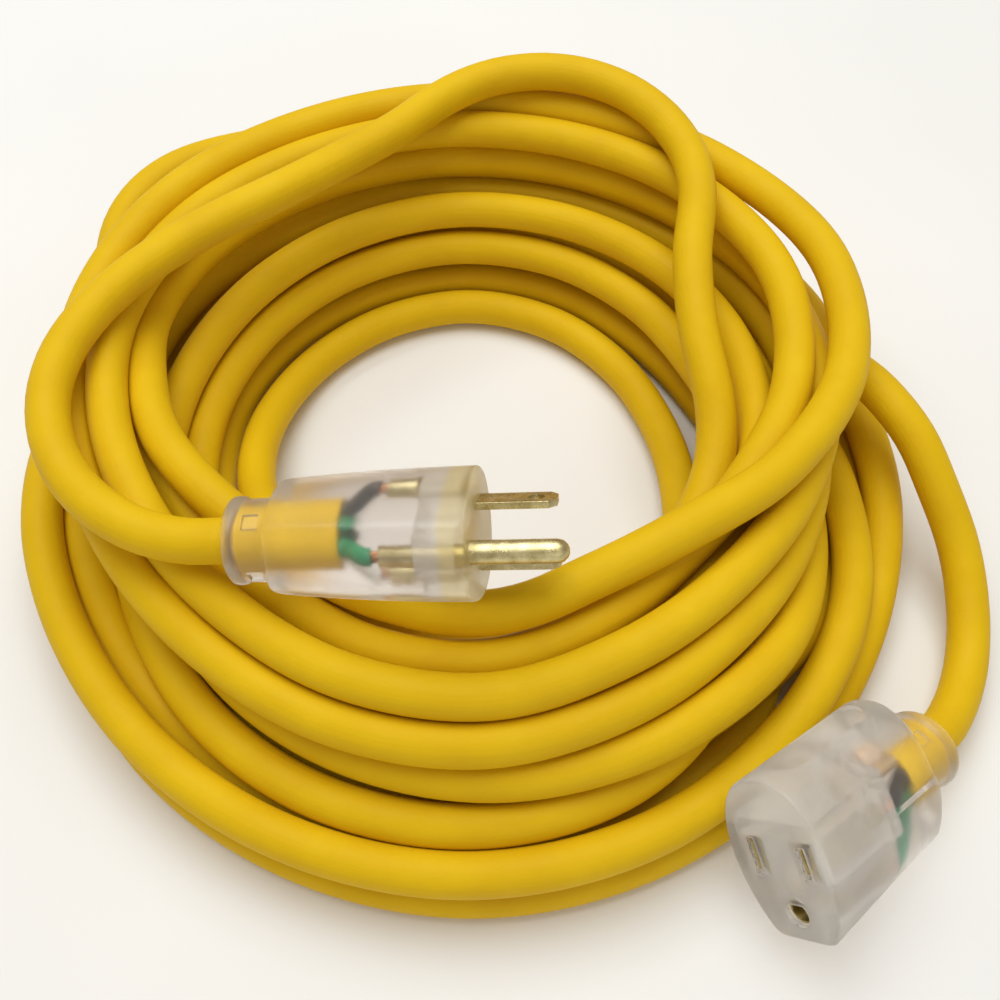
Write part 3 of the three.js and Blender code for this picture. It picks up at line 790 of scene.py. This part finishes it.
def moulded_skin(name, end, outline, taper, body, collar, cord_y, shoulder_round):
    """The clear body: rounded at its face and its shoulder, then the collar and its bead."""
    rings = []
    for depth, step in ((0, 0.75), (0.08, 0.42), (0.3, 0.14), (0.7, 0)):
        rings.append((taper(inset(outline, step), depth), depth))
    for depth in np.linspace(2.5, body - shoulder_round - 0.6, 14):
        rings.append((taper(outline, depth), depth))
    shoulder = taper(outline, body)
    for turn in np.linspace(0.2, 1, 6) * math.pi / 2:
        depth = body - shoulder_round * (1 - math.sin(turn))
        step = shoulder_round * (1 - math.cos(turn))
        rings.append((inset(taper(outline, depth), step), depth))
    centre = (0, cord_y)
    neck = 8.8
    narrow = np.linalg.norm(inset(shoulder, shoulder_round) - centre, axis=1)
    collar_start = round_outline(shoulder, centre, neck)
    blend = np.minimum(narrow, neck + 0.35)[:, None] / neck
    rings.append((np.array(centre) + (collar_start - centre) * blend, body + 0.1))
    profile = [
        (body + 0.6, 8.8), (body + 2, 8.72), (collar - 5, 8.62), (collar - 3.6, 8.6),
        (collar - 3.0, 8.5), (collar - 2.7, 8.65), (collar - 2.3, 9.05), (collar - 1.7, 9.2),
        (collar - 0.9, 9.2), (collar - 0.35, 9.05), (collar - 0.05, 8.7), (collar, 8.2),
        (collar, 6.4), (collar - 0.3, 5.6), (collar - 1.0, 5.05),
    ]
    for depth, radius in profile:
        rings.append((round_outline(shoulder, centre, radius), depth))
    return lofted(name, end, rings)


def block(end, width, height, front, back, x, y, roll=0.0, centre=(0, 0)):
    """A box as a cutter, in millimetres behind the face, turned about the cord's axis."""
    turn = math.radians(roll)
    points = []
    for depth in (front, back):
        for dx, dy in ((-1, -1), (1, -1), (1, 1), (-1, 1)):
            px, py = x + dx * width / 2, y + dy * height / 2
            qx = px * math.cos(turn) - py * math.sin(turn) + centre[0]
            qy = px * math.sin(turn) + py * math.cos(turn) + centre[1]
            points.append(end.at(qx * MM, qy * MM, -depth * MM))
    faces = [(0, 1, 2, 3), (7, 6, 5, 4), (0, 4, 5, 1), (1, 5, 6, 2), (2, 6, 7, 3), (3, 7, 4, 0)]
    piece = object_from("cutter", points, faces)
    facing_out(piece.data)
    return piece


def rod(end, radius, front, back, x, y, sides=32, flat=None):
    """A round cutter; flat cuts its outline off at that height, as a D."""
    turn = np.linspace(0, 2 * math.pi, sides, endpoint=False)
    outline = np.stack([x + radius * np.cos(turn), y + radius * np.sin(turn)], axis=1)
    if flat is not None:
        outline[:, 1] = np.maximum(outline[:, 1], flat)
    return lofted("cutter", end, [(outline, front), (outline, back)])


def carved(piece, cutters, inside=None):
    """Cuts each cutter out of the piece, with the material inside on the faces it leaves, and
    removes the cutters."""
    for cutter in cutters:
        if inside:
            cutter.data.materials.append(inside)
        tool = piece.modifiers.new("cut", "BOOLEAN")
        tool.operation = "DIFFERENCE"
        tool.solver = "EXACT"
        tool.material_mode = "TRANSFER"
        tool.object = cutter
    applied(piece)
    for cutter in cutters:
        bpy.data.objects.remove(cutter)
    return piece


def applied(piece):
    """Turns the piece's modifiers into its mesh."""
    evaluated = piece.evaluated_get(bpy.context.evaluated_depsgraph_get())
    mesh = bpy.data.meshes.new_from_object(evaluated)
    piece.modifiers.clear()
    piece.data = mesh


def collar_windows(end, body, collar, cord_y):
    middle = (body + collar) / 2 - 1
    return [
        block(end, 3.2, 2.2, middle - 1.7, middle + 1.7, 0, 8.7, roll, (0, cord_y))
        for roll in (45, 135, 225, 315)
    ]


def plug_skin():
    def taper(outline, depth):
        share = (depth / PLUG_DEPTH) ** 2
        return outline * (1 - 0.12 * share, 1 - 0.2 * share)

    outline = shield(13.3, -13.5, 17.5, 7.2)
    sizes = (PLUG_DEPTH, PLUG_COLLAR, PLUG_CORD_Y)
    piece = moulded_skin("plug_skin", PLUG_FRAME, outline, taper, *sizes, 1.2)
    carved(piece, collar_windows(PLUG_FRAME, *sizes))
    smooth_by_angle(piece.data, 35)
    dressed(piece, "clear_pvc", "plug_body")
    piece.data.materials[0] = clear_material(
        "clear_vinyl_plug", end=PLUG_FRAME, face_band=(0.86, 0.74, 0.42),
    )
    return piece


def connector_skin():
    def taper(outline, depth):
        share = min(depth, 32) / 32
        shrink = outline.copy()
        foot = shrink[:, 1] > 0
        shrink[foot, 1] *= 1 - 0.16 * share
        shrink[~foot, 0] *= 1 - 0.06 * share
        return shrink

    outline = shield(12.6, CONNECTOR_DOME, 18, 7.4)
    end = CONNECTOR_FRAME
    sizes = (CONNECTOR_DEPTH, CONNECTOR_COLLAR, CONNECTOR_CORD_Y)
    piece = moulded_skin("connector_skin", end, outline, taper, *sizes, 2.6)
    # Its contact-face colour is lighter than its tint: painted light, brightening the face that the
    # lamps leave in shade.
    piece.data.materials.append(clear_material(
        "clear_vinyl_connector", (0.88, 0.845, 0.82), end, (0.93, 0.90, 0.87),
    ))
    wall = 1.1
    pocket = 17.5
    cutters = [
        block(end, 1.96, 6.96, -1, wall, -BLADE_X, 0),
        block(end, 1.96, 8.56, -1, wall, BLADE_X, 0),
        rod(end, 2.85, -1, wall, 0, GROUND_Y, flat=GROUND_Y - 2.1),
        block(end, 5.2, 9.0, wall - 0.1, pocket, -BLADE_X, 0),
        block(end, 5.2, 9.0, wall - 0.1, pocket, BLADE_X, 0),
        rod(end, 3.0, wall - 0.1, pocket, 0, GROUND_Y),
    ]
    carved(piece, cutters, LOOKS["clear_bore"])
    carved(piece, [*collar_windows(end, *sizes), grip_cutter(end)])
    smooth_by_angle(piece.data, 35)
    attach(piece, "root")
    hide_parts("connector_body")
    return piece


def grip_cutter(end):
    """The long recess along the domed side."""
    radius = 5
    depth = 1.2
    count = 48
    turn = np.linspace(0, 2 * math.pi, count, endpoint=False)
    x = radius * np.cos(turn)
    along = 20 + radius * np.sin(turn) + np.sign(np.sin(turn)) * 10
    points = [
        end.at(a * MM, (CONNECTOR_DOME + y) * MM, -b * MM)
        for y in (depth, depth - 6) for a, b in zip(x, along)
    ]
    faces = [(j, (j + 1) % count, count + (j + 1) % count, count + j) for j in range(count)]
    faces += [tuple(range(count))[::-1], tuple(range(count, 2 * count))]
    piece = object_from("cutter", points, faces)
    facing_out(piece.data)
    return piece


def rounded(node, edge):
    """A copy of a CAD node with its sharp edges rounded."""
    shape = bmesh.new()
    shape.from_mesh(nodes[node].data)
    bmesh.ops.remove_doubles(shape, verts=shape.verts, dist=1e-6)
    bmesh.ops.dissolve_limit(
        shape, angle_limit=math.radians(1.5), verts=shape.verts, edges=shape.edges
    )
    sharp = [
        e for e in shape.edges
        if len(e.link_faces) == 2 and e.calc_face_angle(0) > math.radians(35)
    ]
    bmesh.ops.bevel(
        shape, geom=sharp, offset=edge, segments=2, profile=0.6, affect="EDGES",
        clamp_overlap=True,
    )
    mesh = bpy.data.meshes.new(node + "_finished")
    shape.to_mesh(mesh)
    shape.free()
    piece = bpy.data.objects.new(node + "_finished", mesh)
    bpy.context.scene.collection.objects.link(piece)
    smooth_by_angle(mesh, 32)
    return dressed(piece, SLOT_OF[node], node)


def smooth_curve(end, points, step):
    return spline([end.at(x * MM, y * MM, -depth * MM) for x, y, depth in points], step)


def conductors(prefix, end, cord_y, strand_back, jacket_front, barrel_front, hot_side):
    """The three insulated conductors and their bared strands, from the crimps to the jacket.

    Each lies in the jacket at its own angle; hot_side is 1 where the hot contact is on x's side."""
    angles = {1: {"black": -30, "white": 210}, -1: {"black": 210, "white": -30}}[hot_side]
    lay_radius = 2.35
    places = {
        "black": (hot_side * BLADE_X, 0, angles["black"]),
        "white": (-hot_side * BLADE_X, 0, angles["white"]),
        "green": (0, GROUND_Y, 90),
    }
    made = []
    for name, (x, y, angle) in places.items():
        turn = math.radians(angle)
        lay_x = lay_radius * math.cos(turn)
        lay_y = cord_y + lay_radius * math.sin(turn)
        front = strand_back + 0.3
        back = jacket_front - 0.3
        points = [
            (x, y, front), (x, y, front + 1.3),
            ((x + lay_x) / 2, (y + lay_y) / 2, (front + back) / 2),
            (lay_x, lay_y, back - 1.3), (lay_x, lay_y, back + 2),
        ]
        route = smooth_curve(end, points, 0.5 * MM)
        wire = tube(f"{prefix}_{name}_conductor", route, 1.9 * MM, 24)
        dressed(wire, "insulation_" + name, f"{prefix}_wire_{name}")
        bunch = strand_bunch(
            f"{prefix}_{name}_bared", end, x, y, barrel_front + 1.3, strand_back + 0.6,
        )
        dressed(bunch, "copper", f"{prefix}_strands_{name}")
        made += [wire, bunch]
    return made


def strand_bunch(name, end, x, y, front, back):
    """Seven bundles of fine strands twisted together."""
    bundles = []
    for i in range(7):
        reach = 0 if i == 6 else 0.84
        points = []
        for depth in np.linspace(front, back, 14):
            turn = 2 * math.pi * (i / 6 + (depth - front) / 14)
            points.append((x + reach * math.cos(turn), y + reach * math.sin(turn), depth))
        bundles.append(tube(name, smooth_curve(end, points, 0.4 * MM), 0.44 * MM, 12))
    return joined_pieces(name, bundles)


def joined_pieces(name, pieces):
    shape = bmesh.new()
    for piece in pieces:
        shape.from_mesh(piece.data)
        bpy.data.objects.remove(piece)
    mesh = bpy.data.meshes.new(name)
    shape.to_mesh(mesh)
    shape.free()
    piece = bpy.data.objects.new(name, mesh)
    bpy.context.scene.collection.objects.link(piece)
    return piece


def jacket_end(prefix, end, cord_y, front, back):
    """The end of the jacket inside a moulded end."""
    points = [(0, cord_y, depth) for depth in np.linspace(front, back, 12)]
    piece = tube(f"{prefix}_jacket_stub", smooth_curve(end, points, 1 * MM), 4.85 * MM, 32)
    return dressed(piece, "jacket", f"{prefix}_jacket_end")


made = [
    plug_skin(),
    connector_skin(),
    jacket_end("plug", PLUG_FRAME, PLUG_CORD_Y, 26.6, PLUG_COLLAR - 0.5),
    jacket_end("connector", CONNECTOR_FRAME, CONNECTOR_CORD_Y, 35.4, CONNECTOR_COLLAR - 0.5),
    *conductors("plug", PLUG_FRAME, PLUG_CORD_Y, 18.9, 26.6, 11.5, 1),
    *conductors("connector", CONNECTOR_FRAME, CONNECTOR_CORD_Y, 25.6, 35.4, 16.7, -1),
]
for node, edge in (
    ("blade_hot", 0.25), ("blade_neutral", 0.25), ("ground_pin", 0.15), ("plug_bridge", 1.0),
    ("contact_carrier", 0.8), ("carrier_cap", 0.8), ("contact_hot", 0.08),
    ("contact_neutral", 0.08), ("contact_ground", 0.08),
):
    made.append(rounded(node, edge * MM))
for node in ("indicator_lamp", "indicator_resistor", "lamp_tap", "resistor_tap"):
    nodes[node].data.materials.clear()
    nodes[node].data.materials.append(LOOKS[SLOT_OF[node]])
cord.data.materials.append(LOOKS["jacket"])

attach(cord, "root")
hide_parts("cord_coil", "plug_lead", "connector_lead")
tuple(route[0])
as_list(made[:MOST_WITH_CORD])


# ---- Floor and light -------------------------------------------------------------------------

def floor_and_lights():
    mesh = bpy.data.meshes.new("floor")
    reach = 3
    corners = [(-reach, -reach, 0), (reach, -reach, 0), (reach, reach, 0), (-reach, reach, 0)]
    mesh.from_pydata(corners, [], [(0, 1, 2, 3)])
    floor = bpy.data.objects.new("floor", mesh)
    bpy.context.scene.collection.objects.link(floor)
    paper = new_material("floor_paper", (0.86, 0.86, 0.86), 0.9)
    color_from(paper, noise(paper, 8, 2), [(0.3, (0.85, 0.85, 0.85)), (0.7, (0.88, 0.88, 0.88))])
    floor.data.materials.append(paper)
    world = bpy.data.worlds.new("world")
    bpy.context.scene.world = world
    world.use_nodes = True
    background = world.node_tree.nodes["Background"]
    background.inputs["Color"].default_value = (1, 0.85, 0.71, 1)
    background.inputs["Strength"].default_value = 0.39
    lamp("key", (-0.12, 0.25, 0.93), 8.6, 0.9)
    lamp("front", (0.25, -0.75, 0.5), 1.2, 0.7)


def lamp(name, place, watts, size):
    """A soft square lamp that faces the cord."""
    light = bpy.data.lights.new(name, "AREA")
    light.energy = watts
    light.color = (0.95, 1, 1)
    light.size = size
    piece = bpy.data.objects.new(name, light)
    piece.location = place
    piece.rotation_euler = (-Vector(place)).to_track_quat("-Z", "Y").to_euler()
    bpy.context.scene.collection.objects.link(piece)


floor_and_lights()
bpy.context.scene.view_settings.view_transform = "Standard"
